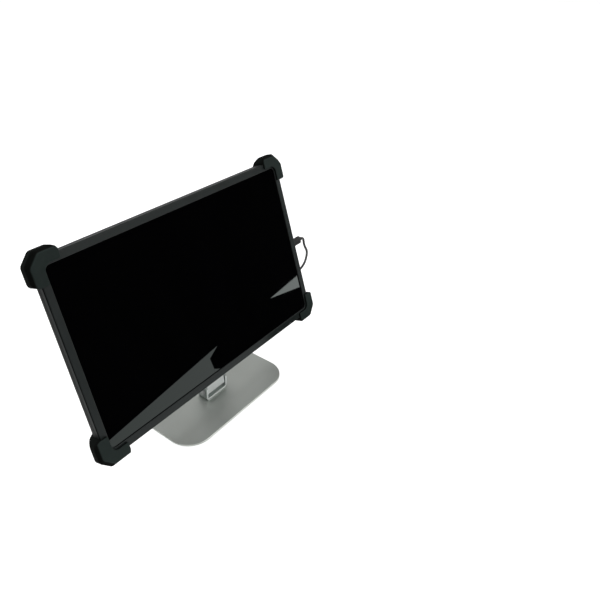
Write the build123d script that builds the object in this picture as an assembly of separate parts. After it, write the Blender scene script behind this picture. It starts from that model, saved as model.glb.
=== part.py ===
from build123d import *
import math
import os

# Rugged portable monitor with corner bumpers, on a folding aluminium stand, with its cable.
# Millimetres. The frame of the whole part: X to the viewer's right, Y to the back, Z up,
# origin on the desk under the middle of the base plate.
# The display is drawn flat: x to the right, y the depth behind the front of the lip, z up the face.

# Front bezel and screen
VIEW_W = 354.0
VIEW_H = 208.0
VIEW_R = 5.5
LIP_SIDE = 8.7
LIP_TOP = 8.9
LIP_T = 1.2
LIP_BEVEL = 0.6
FRAME_R = 9.0
FRAME_EDGE_R = 0.6
GROOVE_AT = 0.8
GROOVE_W = 1.8
GROOVE_DEEP = 4.0
GASKET_T = 0.4
GASKET_INSET = 0.6
GLASS_LAP = 2.6
GLASS_T = 1.2
GLASS_R = 4.0
POCKET_GAP = 0.3
LCD_INSET = 3.0
LCD_T = 2.8
CHASSIS_T = 1.0

# Rear cover
SEAL_T = 0.5
SEAL_INSET = 0.8
REAR_SIDE = 6.2
REAR_SLOPE = 6.7
SLOPE_IN = 9.0
WALL = 2.2
VENT_W = 3.0
VENT_LEN = 30.0
VENT_PITCH = 8.0
VENT_COUNT = 8
VENT_X = 104.0
VENT_U = 58.0
COVER_SCREW_XS = (-120.0, -40.0, 40.0, 120.0)
COVER_SCREW_R = 1.0
COVER_SCREW_BITE = 3.2
COVER_HEAD_R = 1.75
COVER_HEAD_T = 1.4
COVER_SEAT = 3.0
COVER_SCREW_KEY = 1.5
WELL_GAP = 0.15

# Corner bumpers
BUMPER_SIDE = 9.6
BUMPER_TOP = 9.2
BUMPER_PROUD = 3.0
BUMPER_FRONT_IN = 3.5
BUMPER_BEVEL_END = 2.4
BUMPER_WALL_END = 10.0
BUMPER_SHOULDER = 15.0
BUMPER_SHOULDER_IN = 5.0
BUMPER_TAIL = 1.5
BUMPER_TAIL_IN = 13.5
BUMPER_CORNER = 12.0
BUMPER_ROUND = 6.5
BUMPER_EDGE_R = 1.0
BUMPER_LEG = 27.0
FLAP_SIDE = 7.2
FLAP_TOP = 6.5
FLAP_CORNER_R = 8.0
FLAP_END_R = 1.5
LEG_END_R = 8.0

# Board, sockets and keys on the right side
STANDOFF_H = 1.0
STANDOFF_R = 2.5
BOARD_W = 62.0
BOARD_H = 100.0
BOARD_T = 1.2
BOARD_RISE = 37.0
BOARD_EDGE = 2.4
BOARD_HOLE_IN = 5.0
BOARD_SCREW_R = 0.95
BOARD_SCREW_HEAD_R = 1.9
BOARD_SCREW_HEAD_T = 1.2
BOARD_SCREW_SPARE = 0.3
CHIP_T = 1.4
CHIP_SIDE = 14.0
CHIP_PLACE_SHARES = ((-0.25, 0.22), (0.08, 0.05), (-0.22, -0.22))
FLEX_T = 0.3
FLEX_W = 20.0
FLEX_LEN = 34.0
FLEX_PLUG = 5.0
FLEX_SLOT_GAP = 0.2
SOCKET_H = 3.2
SOCKET_LEN = 12.5
SOCKET_SKIN = 0.3
SOCKET_BACK = 1.5
SOCKET_SET_IN = 0.5
SOCKET_ROUND_SHARE = 0.48
SOCKET_GAP = 0.25
USB_W = 9.0
USB_RISE = 18.0
USB_STEP = 16.0
HDMI_W = 11.2
HDMI_STEP = 17.2
TONGUE_T = 0.7
TONGUE_SIDE = 0.9
TONGUE_LEN = 6.0
KEY_W = 7.0
KEY_H = 3.0
KEY_PROUD = 0.8
KEY_TRAVEL = 0.6
KEY_GAP = 0.25
KEY_REST_GAP = 0.2
KEY_FLANGE = 1.0
KEY_FLANGE_T = 1.1
KEY_CLEAR = 14.9
KEY_PITCH = 11.0
SWITCH_LEN = 5.0
SWITCH_W = 6.0

# Stand, fixed to the display
LEAN = 18.3
VESA = 75.0
INSERT_R = 2.9
INSERT_LEN = 6.0
INSERT_BOSS_R = 5.5
INSERT_BOSS_SPARE = 1.0
HEAD_SIDE = 98.0
HEAD_R = 12.0
HEAD_T = 3.0
HEAD_SCREW_R = 1.95
HEAD_SCREW_HEAD_R = 3.8
HEAD_SCREW_HEAD_T = 2.2
HEAD_SCREW_BITE = 5.0
HEAD_SCREW_KEY = 3.0
HEX_DEEP_SHARE = 0.6
SCREW_FIT = 0.05
ARM_T = 5.0
ARM_TOP = 36.0
ARM_TOP_R = 12.0
ARM_EDGE_R = 1.0
ARM_KNEE = 108.0
ARM_SCREW_R = 1.7
ARM_SCREW_HEAD_R = 3.4
ARM_SCREW_HEAD_T = 1.9
ARM_SCREW_X = 8.0
ARM_SCREW_US = (24.0, -24.0)
ARM_SCREW_SPARE = 0.4
ARM_SCREW_KEY = 2.5
AXIS_BACK = 7.0
AXIS_DROP = 22.9
BARREL_R = 6.6
ARM_TOE = 4.0

# Stand, base
PLATE_W = 192.0
PLATE_D = 164.8
PLATE_R = 31.0
PLATE_T = 2.2
PLATE_BEVEL = 0.6
PAD_T = 1.0
PAD_INSET = 7.0
HINGE_FROM_FRONT = 53.9
HINGE_RISE = 11.3
BRACKET_W = 37.5
SHEET = 2.2
SHEET_BEND_R = 1.0
EAR_HALF = 8.0
EAR_TOP_R = 4.0
PIN_R = 3.0
PIN_FIT = 0.05
PIN_HEAD_R = 4.8
PIN_HEAD_T = 2.2
PIN_DOME = 0.9
PIN_SPARE = 0.8
NUT_FLAT = 8.0
NUT_T = 3.0
WASHER_T = 0.8
WASHER_R = 6.0
WASHER_GAP = 0.1
FOOT_SCREW_R = 1.45
FOOT_SCREW_HEAD_R = 2.8
FOOT_SCREW_HEAD_T = 1.6
FOOT_SCREW_X = 10.0
FOOT_SCREW_SPARE = 0.3

# Cable
CABLE_D = 3.5
PLUG_W = 11.0
PLUG_T = 6.4
PLUG_LEN = 23.4
PLUG_ROUND_SHARE = 0.45
PLUG_EDGE_R = 1.0
PLUG_GAP = 0.4
RELIEF_LEN = 4.0
RELIEF_R = 2.9
RELIEF_END_R = 2.3
SHELL_FIT = 0.1
SHELL_SKIN = 0.45
SHELL_LEN = 6.3
COIL_X = 140.0
COIL_Y = 70.0
COIL_TURN_DEG = 53.13
COIL_R = 24.0
COIL_HALF_TURNS = 5
COIL_PITCH = 4.0
COIL_LIFT = 1.65
TIE_T = 0.9
TIE_LEN = 8.0
TIE_GAP = 0.4
TIE_SLACK = 1.6
TIE_R = 1.6
# The lead: its first run out of the plug, its corners, and its last run before the coil.
LEAD_RUN = 6.4
LEAD_POINTS = (
    (223.0, -12.8, 125.0),
    (234.5, -13.0, 109.0),
    (245.0, 2.0, 70.0),
    (226.0, 40.0, 26.0),
)
LANDING_RUN = 38.0
# The tail, as steps along its own direction and down from the coil.
TAIL_STEPS = ((15.0, 0.0), (34.0, -4.0), (48.0, -4.0))

# Cuts run this far past the faces they open
OVER = 1.0

FRAME_W = VIEW_W + 2 * LIP_SIDE
FRAME_H = VIEW_H + 2 * LIP_TOP
GLASS_W = VIEW_W + 2 * GLASS_LAP
GLASS_H = VIEW_H + 2 * GLASS_LAP
POCKET_W = GLASS_W + 2 * POCKET_GAP
POCKET_H = GLASS_H + 2 * POCKET_GAP
POCKET_R = GLASS_R + POCKET_GAP
GASKET_AT = LIP_T
GLASS_AT = GASKET_AT + GASKET_T
LCD_AT = GLASS_AT + GLASS_T
CHASSIS_AT = LCD_AT + LCD_T
BEZEL_D = CHASSIS_AT + CHASSIS_T
REAR_AT = BEZEL_D + SEAL_T
SIDE_END = REAR_AT + REAR_SIDE
THICK = SIDE_END + REAR_SLOPE
COVER_SCREW_U = (FRAME_H + POCKET_H) / 4
BUMPER_END_X = FRAME_W / 2 - BUMPER_LEG
BUMPER_END_U = FRAME_H / 2 - BUMPER_LEG
KEY_LOW_U = KEY_CLEAR + KEY_W / 2 - BUMPER_END_U
KEY_US = (KEY_LOW_U + 2 * KEY_PITCH, KEY_LOW_U + KEY_PITCH, KEY_LOW_U)
USB_LOW_U = KEY_US[0] + USB_RISE
USB_U = USB_LOW_U + USB_STEP
HDMI_U = USB_U + HDMI_STEP
BOARD_U = KEY_LOW_U + BOARD_RISE
BOARD_AT = BEZEL_D + STANDOFF_H
BOARD_BACK = BOARD_AT + BOARD_T
BOARD_RIGHT = POCKET_W / 2 - BOARD_EDGE
BOARD_X = BOARD_RIGHT - BOARD_W / 2
SOCKET_D = BOARD_BACK + SOCKET_H / 2
SOCKET_FRONT = FRAME_W / 2 - SOCKET_SET_IN
KEY_FACE = POCKET_W / 2 - POCKET_GAP
SWITCH_FACE = KEY_FACE - KEY_FLANGE_T - KEY_TRAVEL - KEY_REST_GAP
ARM_AT = THICK + HEAD_T
ARM_BACK = ARM_AT + ARM_T
AXIS_D = ARM_BACK + AXIS_BACK
AXIS_U = -(FRAME_H / 2 + AXIS_DROP)
PLATE_TOP = PAD_T + PLATE_T
HINGE_Y = HINGE_FROM_FRONT - PLATE_D / 2
HINGE_Z = PLATE_TOP + HINGE_RISE
BARREL_W = BRACKET_W - 2 * (SHEET + WASHER_T + WASHER_GAP)
PLUG_END_X = FRAME_W / 2 + PLUG_GAP + PLUG_LEN + RELIEF_LEN
COIL_LOW = COIL_LIFT + CABLE_D / 2
TIE_IN = COIL_R - (COIL_HALF_TURNS - 1) * COIL_PITCH / 2 - CABLE_D / 2 - TIE_SLACK
TIE_OUT = COIL_R + CABLE_D / 2 + TIE_GAP

display_at = Pos(0, HINGE_Y, HINGE_Z) * Rot(-LEAN, 0, 0) * Pos(0, -AXIS_D, -AXIS_U)


def face_plane(depth):
    """The plane at a depth behind the lip, seen from the front: x right, y up."""
    return Plane(origin=(0, depth, 0), x_dir=(1, 0, 0), z_dir=(0, -1, 0))


def slab(outline, front, back):
    """An outline drawn from the front, filled between two depths."""
    return extrude(face_plane(back) * outline, amount=back - front, dir=(0, -1, 0))


def side_bar(outline, left, right):
    """An outline of (depth, up) filled between two places along x."""
    plane = Plane(origin=(left, 0, 0), x_dir=(0, 1, 0), z_dir=(1, 0, 0))
    return extrude(plane * outline, amount=right - left, dir=(1, 0, 0))


def rod(radius, front, back, x, u):
    """A round bar along the depth."""
    return slab(Pos(x, u) * Circle(radius), front, back)


def tapered(outline_front, front, outline_back, back):
    """A straight-sided body between two outlines."""
    return loft([face_plane(front) * outline_front, face_plane(back) * outline_back], ruled=True)


def hex_recess(across, deep, mouth, x, u):
    """A key recess in a screw head, open at its mouth."""
    hexagon = RegularPolygon(across / 2, 6, major_radius=False)
    return slab(Pos(x, u) * hexagon, mouth - deep, mouth + OVER)


def group(pieces):
    """Equal loose pieces as one node."""
    return Compound(children=list(pieces))


def frame_outline(inset=0.0):
    return RectangleRounded(FRAME_W - 2 * inset, FRAME_H - 2 * inset, FRAME_R)


def pocket_outline():
    return RectangleRounded(POCKET_W, POCKET_H, POCKET_R)


def cover_screw_places():
    return [(x, side * COVER_SCREW_U) for x in COVER_SCREW_XS for side in (1, -1)]


def front_bezel():
    """The moulded front: lip, pocket for the screen, side grooves, screw pilots."""
    body = slab(frame_outline(), 0, BEZEL_D)
    front_edges = body.faces().sort_by(Axis.Y)[0].edges()
    body = fillet(front_edges, FRAME_EDGE_R)
    body -= slab(RectangleRounded(VIEW_W, VIEW_H, VIEW_R), -OVER, LIP_T + OVER)
    body -= slab(pocket_outline(), LIP_T, BEZEL_D + OVER)
    lip_wide = RectangleRounded(VIEW_W + 2 * LIP_BEVEL, VIEW_H + 2 * LIP_BEVEL, VIEW_R + LIP_BEVEL)
    body -= tapered(lip_wide, 0, RectangleRounded(VIEW_W, VIEW_H, VIEW_R), LIP_BEVEL)
    groove_len = 2 * (BUMPER_END_U + LEG_END_R)
    groove = Rectangle(2 * GROOVE_DEEP, groove_len)
    for side in (1, -1):
        body -= slab(Pos(side * FRAME_W / 2, 0) * groove, GROOVE_AT, GROOVE_AT + GROOVE_W)
    for x, u in cover_screw_places():
        pilot = COVER_SCREW_R + SCREW_FIT
        body -= rod(pilot, BEZEL_D - COVER_SCREW_BITE, BEZEL_D + OVER, x, u)
    return body


def screen_gasket():
    ring = RectangleRounded(GLASS_W, GLASS_H, GLASS_R)
    hole = RectangleRounded(VIEW_W + 2 * GASKET_INSET, VIEW_H + 2 * GASKET_INSET, VIEW_R)
    return slab(ring - hole, GASKET_AT, GLASS_AT)


def cover_glass():
    return slab(RectangleRounded(GLASS_W, GLASS_H, GLASS_R), GLASS_AT, LCD_AT)


def lcd_panel():
    return slab(Rectangle(GLASS_W - 2 * LCD_INSET, GLASS_H - 2 * LCD_INSET), LCD_AT, CHASSIS_AT)


def board_hole_places():
    dx = BOARD_W / 2 - BOARD_HOLE_IN
    du = BOARD_H / 2 - BOARD_HOLE_IN
    return [(BOARD_X + i * dx, BOARD_U + j * du) for i in (1, -1) for j in (1, -1)]


def flex_left():
    return BOARD_X - BOARD_W / 2 + FLEX_PLUG - FLEX_LEN


def chassis_plate():
    """Sheet behind the panel, with standoffs for the board and a slot for the flex."""
    body = slab(RectangleRounded(GLASS_W, GLASS_H, GLASS_R), CHASSIS_AT, BEZEL_D)
    for x, u in board_hole_places():
        body += rod(STANDOFF_R, BEZEL_D, BOARD_AT, x, u)
    for x, u in board_hole_places():
        body -= rod(BOARD_SCREW_R + SCREW_FIT, CHASSIS_AT - OVER, BOARD_AT + OVER, x, u)
    slot = Rectangle(FLEX_T + 2 * FLEX_SLOT_GAP, FLEX_W + 2 * FLEX_SLOT_GAP)
    slot_x = flex_left() + FLEX_T / 2
    return body - slab(Pos(slot_x, BOARD_U) * slot, CHASSIS_AT - OVER, BEZEL_D + OVER)


def perimeter_seal():
    ring = frame_outline(SEAL_INSET) - pocket_outline()
    body = slab(ring, BEZEL_D, REAR_AT)
    for x, u in cover_screw_places():
        body -= rod(COVER_SCREW_R + SCREW_FIT, BEZEL_D - OVER, REAR_AT + OVER, x, u)
    return body


def envelope():
    """The closed outside of the two housing halves."""
    body = slab(frame_outline(), 0, SIDE_END)
    return body + tapered(frame_outline(), SIDE_END, frame_outline(SLOPE_IN), THICK)


def insert_places():
    return [(i * VESA / 2, j * VESA / 2) for i in (1, -1) for j in (1, -1)]


def pill(width, height):
    return RectangleRounded(width, height, height * SOCKET_ROUND_SHARE)


def side_pill(width, height, u, left, right):
    """A rounded bar along x through the right side, long way up the face."""
    return side_bar(Pos(SOCKET_D, u) * Rot(0, 0, 90) * pill(width, height), left, right)


def usb_places():
    return (USB_U, USB_LOW_U)


def rear_cover():
    """The moulded back shell: sloped edges, vents, screw wells, insert bosses, side cut-outs."""
    outer = slab(frame_outline(), REAR_AT, SIDE_END)
    outer += tapered(frame_outline(), SIDE_END, frame_outline(SLOPE_IN), THICK)
    inner = slab(pocket_outline(), REAR_AT - OVER, SIDE_END)
    inner_back = frame_outline(SLOPE_IN + WALL)
    inner += tapered(pocket_outline(), SIDE_END, inner_back, THICK - WALL)
    body = outer - inner
    for x, u in insert_places():
        body += rod(INSERT_BOSS_R, THICK - INSERT_LEN - INSERT_BOSS_SPARE, THICK - WALL, x, u)
    for x, u in insert_places():
        body -= rod(INSERT_R, THICK - INSERT_LEN, THICK + OVER, x, u)
    for x, u in cover_screw_places():
        body -= rod(COVER_SCREW_R + SCREW_FIT, REAR_AT - OVER, THICK, x, u)
        body -= rod(COVER_HEAD_R + WELL_GAP, REAR_AT + COVER_SEAT, THICK + OVER, x, u)
    wall_in = POCKET_W / 2 - OVER
    wall_out = FRAME_W / 2 + OVER
    for u in usb_places():
        body -= side_pill(USB_W + 2 * SOCKET_GAP, SOCKET_H + 2 * SOCKET_GAP, u, wall_in, wall_out)
    hdmi_w = HDMI_W + 2 * SOCKET_GAP
    body -= side_pill(hdmi_w, SOCKET_H + 2 * SOCKET_GAP, HDMI_U, wall_in, wall_out)
    for u in KEY_US:
        body -= side_pill(KEY_W + 2 * KEY_GAP, KEY_H + 2 * KEY_GAP, u, wall_in, wall_out)
    vent = RectangleRounded(VENT_W, VENT_LEN, VENT_W * SOCKET_ROUND_SHARE)
    for side in (1, -1):
        for i in range(VENT_COUNT):
            x = side * VENT_X + (i - (VENT_COUNT - 1) / 2) * VENT_PITCH
            body -= slab(Pos(x, VENT_U) * vent, THICK - WALL - OVER, THICK + OVER)
    return body


def cover_screws():
    seat = REAR_AT + COVER_SEAT
    tip = BEZEL_D - COVER_SCREW_BITE
    head_end = seat + COVER_HEAD_T
    deep = COVER_HEAD_T * HEX_DEEP_SHARE
    return group(
        rod(COVER_SCREW_R, tip, seat, x, u)
        + rod(COVER_HEAD_R, seat, head_end, x, u)
        - hex_recess(COVER_SCREW_KEY, deep, head_end, x, u)
        for x, u in cover_screw_places()
    )


def stand_inserts():
    bore = HEAD_SCREW_R + SCREW_FIT
    return group(
        rod(INSERT_R, THICK - INSERT_LEN, THICK, x, u)
        - rod(bore, THICK - INSERT_LEN - OVER, THICK + OVER, x, u)
        for x, u in insert_places()
    )


def main_board():
    body = slab(Pos(BOARD_X, BOARD_U) * Rectangle(BOARD_W, BOARD_H), BOARD_AT, BOARD_BACK)
    for x, u in board_hole_places():
        body -= rod(BOARD_SCREW_R + SCREW_FIT, BOARD_AT - OVER, BOARD_BACK + OVER, x, u)
    return body


def board_chips():
    chip = Rectangle(CHIP_SIDE, CHIP_SIDE)
    return group(
        slab(Pos(BOARD_X + i * BOARD_W, BOARD_U + j * BOARD_H) * chip, BOARD_BACK, BOARD_BACK + CHIP_T)
        for i, j in CHIP_PLACE_SHARES
    )


def board_screws():
    tip = CHASSIS_AT + BOARD_SCREW_SPARE
    head_end = BOARD_BACK + BOARD_SCREW_HEAD_T
    return group(
        rod(BOARD_SCREW_R, tip, BOARD_BACK, x, u)
        + rod(BOARD_SCREW_HEAD_R, BOARD_BACK, head_end, x, u)
        for x, u in board_hole_places()
    )


def panel_flex():
    """Flat cable on the chassis plate: a tab through its slot, and a connector under the board."""
    left = flex_left()
    strip_at = left + FLEX_LEN / 2
    body = slab(Pos(strip_at, BOARD_U) * Rectangle(FLEX_LEN, FLEX_W), BEZEL_D, BEZEL_D + FLEX_T)
    body += slab(Pos(left + FLEX_T / 2, BOARD_U) * Rectangle(FLEX_T, FLEX_W), CHASSIS_AT, BEZEL_D)
    plug_at = left + FLEX_LEN - FLEX_PLUG / 2
    plug = Pos(plug_at, BOARD_U) * Rectangle(FLEX_PLUG, FLEX_W)
    return body + slab(plug, BEZEL_D + FLEX_T, BOARD_AT)


def socket(width, u):
    """A metal socket shell on the board, with the contact tongue inside."""
    back = SOCKET_FRONT - SOCKET_LEN
    body = side_pill(width, SOCKET_H, u, back, SOCKET_FRONT)
    inner_w = width - 2 * SOCKET_SKIN
    inner_h = SOCKET_H - 2 * SOCKET_SKIN
    body -= side_pill(inner_w, inner_h, u, back + SOCKET_BACK, SOCKET_FRONT + OVER)
    tongue = Pos(SOCKET_D, u) * Rectangle(TONGUE_T, inner_w - 2 * TONGUE_SIDE)
    return body + side_bar(tongue, back + SOCKET_BACK, back + SOCKET_BACK + TONGUE_LEN)


def usb_sockets():
    return group(socket(USB_W, u) for u in usb_places())


def hdmi_socket():
    return socket(HDMI_W, HDMI_U)


def key_switches():
    outline = Rectangle(SOCKET_H, SWITCH_W)
    return group(
        side_bar(Pos(SOCKET_D, u) * outline, SWITCH_FACE - SWITCH_LEN, SWITCH_FACE) for u in KEY_US
    )


def key(u):
    """A push key: a stem through the side wall and a flange that keeps it in."""
    body = side_pill(KEY_W, KEY_H, u, KEY_FACE, FRAME_W / 2 + KEY_PROUD)
    flange = side_pill(KEY_W + 2 * KEY_FLANGE, KEY_H + KEY_FLANGE, u, KEY_FACE - KEY_FLANGE_T, KEY_FACE)
    return body + flange


def bumper_section(inset):
    """Outline round all four bumpers: a rectangle with cut and rounded corners."""
    a = FRAME_W / 2 + BUMPER_SIDE - inset
    b = FRAME_H / 2 + BUMPER_TOP - inset
    c = BUMPER_CORNER
    corner = [(a, b - c), (a - c, b), (-a + c, b), (-a, b - c)]
    outline = Polygon(*corner, *[(-x, -u) for x, u in corner], align=None)
    return fillet(outline.vertices(), BUMPER_ROUND)


def bumper_hull():
    """The outside that the four bumpers share: bevelled front, straight wall, sloped back."""
    sections = (
        (-BUMPER_PROUD, BUMPER_FRONT_IN),
        (BUMPER_BEVEL_END, 0),
        (BUMPER_WALL_END, 0),
        (BUMPER_SHOULDER, BUMPER_SHOULDER_IN),
        (THICK + BUMPER_TAIL, BUMPER_TAIL_IN),
    )
    return loft([face_plane(d) * bumper_section(i) for d, i in sections], ruled=True)


def bumper_leg_outline():
    """The top right bumper seen from the front: an L round the corner."""
    end_x = BUMPER_END_X
    end_u = BUMPER_END_U
    in_x = FRAME_W / 2 - FLAP_SIDE
    in_u = FRAME_H / 2 - FLAP_TOP
    out_x = FRAME_W / 2 + BUMPER_SIDE
    out_u = FRAME_H / 2 + BUMPER_TOP
    points = [
        (end_x, in_u),
        (end_x, out_u),
        (out_x, out_u),
        (out_x, end_u),
        (in_x, end_u),
        (in_x, in_u),
    ]
    outline = Polygon(*points, align=None)
    rounds = {
        (end_x, in_u): FLAP_END_R,
        (end_x, out_u): LEG_END_R,
        (out_x, end_u): LEG_END_R,
        (in_x, end_u): FLAP_END_R,
        (in_x, in_u): FLAP_CORNER_R,
    }
    for (x, u), radius in rounds.items():
        corner = outline.vertices().sort_by_distance((x, u, 0))[0]
        outline = fillet(corner, radius)
    return outline


def bumper():
    """The top right bumper, wrapped round the edge of the housing."""
    block = slab(bumper_leg_outline(), -BUMPER_PROUD - OVER, THICK + BUMPER_TAIL + OVER)
    body = (block & bumper_hull()) - envelope()
    front_edges = body.faces().sort_by(Axis.Y)[0].edges()
    return fillet(front_edges, BUMPER_EDGE_R)


def head_plate():
    """Square plate on the inserts in the rear cover, threaded for the arm's screws."""
    body = slab(RectangleRounded(HEAD_SIDE, HEAD_SIDE, HEAD_R), THICK, ARM_AT)
    for x, u in insert_places():
        body -= rod(HEAD_SCREW_R + SCREW_FIT, THICK - OVER, ARM_AT + OVER, x, u)
    for x, u in arm_screw_places():
        body -= rod(ARM_SCREW_R + SCREW_FIT, THICK - OVER, ARM_AT + OVER, x, u)
    return body


def head_screws():
    tip = THICK - HEAD_SCREW_BITE
    head_end = ARM_AT + HEAD_SCREW_HEAD_T
    deep = HEAD_SCREW_HEAD_T * HEX_DEEP_SHARE
    return group(
        rod(HEAD_SCREW_R, tip, ARM_AT, x, u)
        + rod(HEAD_SCREW_HEAD_R, ARM_AT, head_end, x, u)
        - hex_recess(HEAD_SCREW_KEY, deep, head_end, x, u)
        for x, u in insert_places()
    )


def arm_screw_places():
    return [(side * ARM_SCREW_X, u) for side in (1, -1) for u in ARM_SCREW_US]


def tangent_point(start, centre, radius, turn):
    """Where a line from a point touches a circle; turn picks the side."""
    dx = start[0] - centre[0]
    dy = start[1] - centre[1]
    angle = math.atan2(dy, dx) + turn * math.acos(radius / math.hypot(dx, dy))
    return (centre[0] + radius * math.cos(angle), centre[1] + radius * math.sin(angle))


def stand_arm():
    """Flat arm behind the display that sweeps back over the hinge barrel and ends in a toe."""
    axis = (AXIS_D, AXIS_U)
    front_knee = (ARM_AT, -ARM_KNEE)
    back_knee = (ARM_BACK, -ARM_KNEE)
    touch = Vector(*tangent_point(front_knee, axis, BARREL_R, 1))
    toe = touch + (touch - Vector(*front_knee)).normalized() * ARM_TOE
    profile = Polygon(
        (ARM_AT, ARM_TOP),
        (ARM_BACK, ARM_TOP),
        back_knee,
        tangent_point(back_knee, axis, BARREL_R, -1),
        axis,
        (toe.X, toe.Y),
        front_knee,
        align=None,
    )
    half = BARREL_W / 2
    body = side_bar(profile, -half, half)
    top_corners = body.edges().filter_by(Axis.Y).group_by(Axis.Z)[-1]
    body = fillet(top_corners, ARM_TOP_R)
    back_face = body.faces().filter_by(Axis.Y).sort_by(Axis.Y)[-1]
    body = fillet(back_face.edges().filter_by(Axis.Z), ARM_EDGE_R)
    body += side_bar(Pos(*axis) * Circle(BARREL_R), -half, half)
    body -= side_bar(Pos(*axis) * Circle(PIN_R + PIN_FIT), -half - OVER, half + OVER)
    for x, u in arm_screw_places():
        body -= arm_screw(x, u, SCREW_FIT, OVER)
    return body


def arm_screw(x, u, gap=0.0, past=0.0):
    """A countersunk screw through the arm into the head plate, or the hole it needs."""
    neck = ARM_BACK - ARM_SCREW_HEAD_T
    shank = rod(ARM_SCREW_R + gap, THICK + ARM_SCREW_SPARE, neck + gap, x, u)
    wide = Pos(x, u) * Circle(ARM_SCREW_HEAD_R + gap)
    narrow = Pos(x, u) * Circle(ARM_SCREW_R + gap)
    head = tapered(narrow, neck, wide, ARM_BACK)
    if past:
        head += slab(wide, ARM_BACK, ARM_BACK + past)
    return shank + head


def arm_screws():
    deep = ARM_SCREW_HEAD_T * HEX_DEEP_SHARE
    return group(
        arm_screw(x, u) - hex_recess(ARM_SCREW_KEY, deep, ARM_BACK, x, u) for x, u in arm_screw_places()
    )


def flat_plate(width, depth, radius, low, high):
    return Pos(0, 0, low) * extrude(RectangleRounded(width, depth, radius), amount=high - low)


def foot_screw_places():
    return [(side * FOOT_SCREW_X, HINGE_Y) for side in (1, -1)]


def foot_screw(x, y, gap=0.0, past=0.0):
    """A countersunk screw from under the plate into the bracket, or the hole it needs."""
    top = PLATE_TOP + SHEET - FOOT_SCREW_SPARE
    shank_len = top - PAD_T + past
    shank = Pos(x, y, PAD_T + shank_len / 2) * Cylinder(FOOT_SCREW_R + gap, shank_len)
    head = Cone(FOOT_SCREW_HEAD_R + gap, FOOT_SCREW_R + gap, FOOT_SCREW_HEAD_T)
    return shank + Pos(x, y, PAD_T + FOOT_SCREW_HEAD_T / 2) * head


def base_plate():
    body = flat_plate(PLATE_W, PLATE_D, PLATE_R, PAD_T, PLATE_TOP)
    body = chamfer(body.faces().sort_by(Axis.Z)[-1].edges(), PLATE_BEVEL)
    for x, y in foot_screw_places():
        body -= foot_screw(x, y, SCREW_FIT, OVER)
    return body


def base_pad():
    inset = 2 * PAD_INSET
    return flat_plate(PLATE_W - inset, PLATE_D - inset, PLATE_R - PAD_INSET, 0, PAD_T)


def bracket_screws():
    return group(foot_screw(x, y) for x, y in foot_screw_places())


def hinge_plane(x):
    """The plane across the hinge axis at a place along it."""
    return Plane(origin=(x, HINGE_Y, HINGE_Z), x_dir=(0, 1, 0), z_dir=(1, 0, 0))


def hinge_bar(radius, left, right):
    """A round bar on the hinge axis."""
    return extrude(hinge_plane(left) * Circle(radius), amount=right - left)


def hinge_bracket():
    """Bent sheet: a floor on the plate and two upright ears with rounded corners."""
    height = HINGE_RISE + EAR_HALF
    outer = Pos(0, height / 2) * Rectangle(BRACKET_W, height)
    outer = fillet(outer.vertices().group_by(Axis.Y)[0], SHEET_BEND_R + SHEET)
    inner = Pos(0, SHEET + height / 2) * Rectangle(BRACKET_W - 2 * SHEET, height)
    inner = fillet(inner.vertices().group_by(Axis.Y)[0], SHEET_BEND_R)
    back = Plane(origin=(0, HINGE_Y + EAR_HALF, PLATE_TOP), x_dir=(1, 0, 0), z_dir=(0, -1, 0))
    channel = extrude(back * (outer - inner), amount=2 * EAR_HALF)
    side = Pos(0, height / 2) * Rectangle(2 * EAR_HALF, height)
    side = fillet(side.vertices().group_by(Axis.Y)[-1], EAR_TOP_R)
    left = Plane(origin=(-BRACKET_W / 2, HINGE_Y, PLATE_TOP), x_dir=(0, 1, 0), z_dir=(1, 0, 0))
    body = channel & extrude(left * side, amount=BRACKET_W)
    body -= hinge_bar(PIN_R + PIN_FIT, -BRACKET_W, BRACKET_W)
    for x, y in foot_screw_places():
        body -= foot_screw(x, y, SCREW_FIT, OVER)
    return body


def hinge_pin():
    """Pin with a domed head outside the left ear."""
    ear = BRACKET_W / 2
    head = hinge_bar(PIN_HEAD_R, -ear - PIN_HEAD_T, -ear)
    head = fillet(head.faces().sort_by(Axis.X)[0].edges(), PIN_DOME)
    return head + hinge_bar(PIN_R, -ear, ear + NUT_T + PIN_SPARE)


def pin_nut():
    ear = BRACKET_W / 2
    hexagon = RegularPolygon(NUT_FLAT / 2, 6, major_radius=False)
    nut = extrude(hinge_plane(ear) * hexagon, amount=NUT_T)
    return nut - hinge_bar(PIN_R + PIN_FIT, ear - OVER, ear + NUT_T + OVER)


def hinge_washers():
    inside = BRACKET_W / 2 - SHEET
    spans = ((-inside, -inside + WASHER_T), (inside - WASHER_T, inside))
    return group(
        hinge_bar(WASHER_R, left, right) - hinge_bar(PIN_R + PIN_FIT, left - OVER, right + OVER)
        for left, right in spans
    )


def plug_outline(width, thick, share):
    return RectangleRounded(thick, width, thick * share)


def plug_boot():
    """Plug body and strain relief; the cable leaves along +x from the origin."""
    face = -RELIEF_LEN - PLUG_LEN
    body = side_bar(plug_outline(PLUG_W, PLUG_T, PLUG_ROUND_SHARE), face, -RELIEF_LEN)
    body = fillet(body.faces().filter_by(Axis.X).edges(), PLUG_EDGE_R)
    relief = Pos(-RELIEF_LEN / 2, 0, 0) * Rot(0, 90, 0) * Cone(RELIEF_R, RELIEF_END_R, RELIEF_LEN)
    return body + relief


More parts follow.
